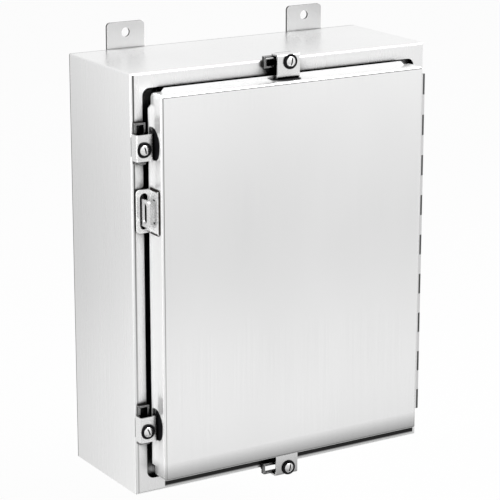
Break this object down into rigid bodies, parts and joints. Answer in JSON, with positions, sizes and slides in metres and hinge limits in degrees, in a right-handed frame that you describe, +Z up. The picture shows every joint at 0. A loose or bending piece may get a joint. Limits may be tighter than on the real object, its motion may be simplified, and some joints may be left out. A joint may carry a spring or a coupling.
{
  "type": "fused disconnect switch",
  "caption": "Wall-mounted stainless-steel clamp-cover enclosure holding a three-pole fused knife switch, with a hinged door, screw clamps and a padlock hasp.",
  "frame": {"origin": "centre of the four wall-mounting holes, on the wall plane at the back of the feet", "axes": "+Z up, the door faces -Y, +Y points into the wall, +X to the right of someone facing the door"},
  "size_m": [0.407, 0.1859, 0.5716],
  "materials": {
    "stainless_body": "fine brushed stainless, pale satin",
    "stainless_door": "fine brushed stainless, pale satin",
    "stainless_fitting": "satin stainless with bright edges",
    "stainless_hinge": "satin stainless, slightly darker",
    "zinc": "bright zinc plate",
    "white_panel": "smooth white powder coat",
    "tinned_lug": "matt tin plate",
    "green_screw": "green coated",
    "gasket_rubber": "matt black closed-cell rubber",
    "grey_plastic": "smooth grey moulding",
    "black_phenolic": "matt black moulded phenolic",
    "copper": "plain copper, slightly dulled",
    "clip_brass": "plain spring brass",
    "chute_fibre": "matt fibre board",
    "red_brown_phenolic": "matt moulded phenolic",
    "red_plastic": "smooth red moulding",
    "fuse_fibre": "pale wound fibre tube",
    "clear_plastic": "clear polycarbonate sheet"
  },
  "bodies": {
    "enclosure": {"enclosure_body": "stainless_body", "gutter_wall": "stainless_body", "gutter_floor": "stainless_body", "opening_rim": "stainless_body", "mounting_feet": "stainless_body", "clamp_brackets": "stainless_fitting", "padlock_staple": "stainless_fitting", "hinge_leaf_body": "stainless_hinge", "hinge_pin": "stainless_hinge", "panel_studs": "stainless_fitting", "panel_nuts": "zinc", "back_panel": "white_panel", "ground_lug": "tinned_lug", "ground_screw": "green_screw", "switch_base": "black_phenolic", "fuse_base": "black_phenolic", "base_screws": "zinc", "line_lugs": "tinned_lug", "line_lug_screws": "zinc", "line_jaws": "copper", "arc_chutes": "chute_fibre", "blade_posts": "copper", "blade_pins": "zinc", "fuse_clips": "clip_brass", "load_lugs": "tinned_lug", "load_lug_screws": "zinc", "shield_rod": "zinc"},
    "door": {"door_panel": "stainless_door", "door_gasket": "gasket_rubber", "hinge_leaf_door": "stainless_hinge", "padlock_hasp": "stainless_fitting", "document_pocket": "grey_plastic"},
    "rotor": {"switch_blades": "copper", "blade_crossbar": "red_brown_phenolic", "switch_lever": "zinc", "lever_screws": "zinc", "lever_grip": "red_plastic"},
    "shield": {"line_shield": "clear_plastic"},
    "nut_1": {"clamp_nut_1": "stainless_fitting"},
    "clamp_1": {"clamp_plate_1": "stainless_fitting", "clamp_washer_1": "gasket_rubber"},
    "screw_1": {"clamp_screw_1": "stainless_fitting"},
    "nut_2": {"clamp_nut_2": "stainless_fitting"},
    "clamp_2": {"clamp_plate_2": "stainless_fitting", "clamp_washer_2": "gasket_rubber"},
    "screw_2": {"clamp_screw_2": "stainless_fitting"},
    "nut_3": {"clamp_nut_3": "stainless_fitting"},
    "clamp_3": {"clamp_plate_3": "stainless_fitting", "clamp_washer_3": "gasket_rubber"},
    "screw_3": {"clamp_screw_3": "stainless_fitting"},
    "nut_4": {"clamp_nut_4": "stainless_fitting"},
    "clamp_4": {"clamp_plate_4": "stainless_fitting", "clamp_washer_4": "gasket_rubber"},
    "screw_4": {"clamp_screw_4": "stainless_fitting"},
    "fuse_1": {"fuse_tube_1": "fuse_fibre", "fuse_ferrules_1": "clip_brass"},
    "fuse_2": {"fuse_tube_2": "fuse_fibre", "fuse_ferrules_2": "clip_brass"},
    "fuse_3": {"fuse_tube_3": "fuse_fibre", "fuse_ferrules_3": "clip_brass"}
  },
  "joints": [
    {"name": "door_hinge", "type": "hinge", "parent": "enclosure", "child": "door", "pos_m": [0.1994, -0.1588, 0], "axis": [0, 0, 1], "range_deg": [0, 180]},
    {"name": "switch_throw", "type": "hinge", "parent": "enclosure", "child": "rotor", "pos_m": [0, -0.0541, 0.075], "axis": [1, 0, 0], "range_deg": [0, 75]},
    {"name": "shield_hinge", "type": "hinge", "parent": "enclosure", "child": "shield", "pos_m": [0, -0.0828, 0.199], "axis": [-1, 0, 0], "range_deg": [0, 110]},
    {"name": "clamp_slide_1", "type": "slide", "parent": "enclosure", "child": "nut_1", "axis": [0, 0, 1], "range_m": [0, 0.022]},
    {"name": "clamp_lift_1", "type": "slide", "parent": "nut_1", "child": "clamp_1", "axis": [0, -1, 0], "range_m": [0, 0.00381]},
    {"name": "clamp_turn_1", "type": "hinge", "parent": "clamp_1", "child": "screw_1", "pos_m": [-0.1948, -0.1554, 0.168], "axis": [0, -1, 0], "range_deg": [0, 1080]},
    {"name": "clamp_slide_2", "type": "slide", "parent": "enclosure", "child": "nut_2", "axis": [0, 0, 1], "range_m": [0, 0.022]},
    {"name": "clamp_lift_2", "type": "slide", "parent": "nut_2", "child": "clamp_2", "axis": [0, -1, 0], "range_m": [0, 0.00381]},
    {"name": "clamp_turn_2", "type": "hinge", "parent": "clamp_2", "child": "screw_2", "pos_m": [-0.1948, -0.1554, -0.17], "axis": [0, -1, 0], "range_deg": [0, 1080]},
    {"name": "clamp_slide_3", "type": "slide", "parent": "enclosure", "child": "nut_3", "axis": [-1, 0, 0], "range_m": [0, 0.022]},
    {"name": "clamp_lift_3", "type": "slide", "parent": "nut_3", "child": "clamp_3", "axis": [0, -1, 0], "range_m": [0, 0.00381]},
    {"name": "clamp_turn_3", "type": "hinge", "parent": "clamp_3", "child": "screw_3", "pos_m": [0.0005, -0.1554, 0.2515], "axis": [0, -1, 0], "range_deg": [0, 1080]},
    {"name": "clamp_slide_4", "type": "slide", "parent": "enclosure", "child": "nut_4", "axis": [-1, 0, 0], "range_m": [0, 0.022]},
    {"name": "clamp_lift_4", "type": "slide", "parent": "nut_4", "child": "clamp_4", "axis": [0, -1, 0], "range_m": [0, 0.00381]},
    {"name": "clamp_turn_4", "type": "hinge", "parent": "clamp_4", "child": "screw_4", "pos_m": [0.0005, -0.1554, -0.2535], "axis": [0, -1, 0], "range_deg": [0, 1080]},
    {"name": "fuse_pull_1", "type": "slide", "parent": "enclosure", "child": "fuse_1", "axis": [0, -1, 0], "range_m": [0, 0.06]},
    {"name": "fuse_pull_2", "type": "slide", "parent": "enclosure", "child": "fuse_2", "axis": [0, -1, 0], "range_m": [0, 0.06]},
    {"name": "fuse_pull_3", "type": "slide", "parent": "enclosure", "child": "fuse_3", "axis": [0, -1, 0], "range_m": [0, 0.06]}
  ],
  "couplings": [
    {"joint": "clamp_turn_1", "follows": "clamp_lift_1", "rad_per_m": 4947.2},
    {"joint": "clamp_turn_2", "follows": "clamp_lift_2", "rad_per_m": 4947.2},
    {"joint": "clamp_turn_3", "follows": "clamp_lift_3", "rad_per_m": 4947.2},
    {"joint": "clamp_turn_4", "follows": "clamp_lift_4", "rad_per_m": 4947.2}
  ]
}
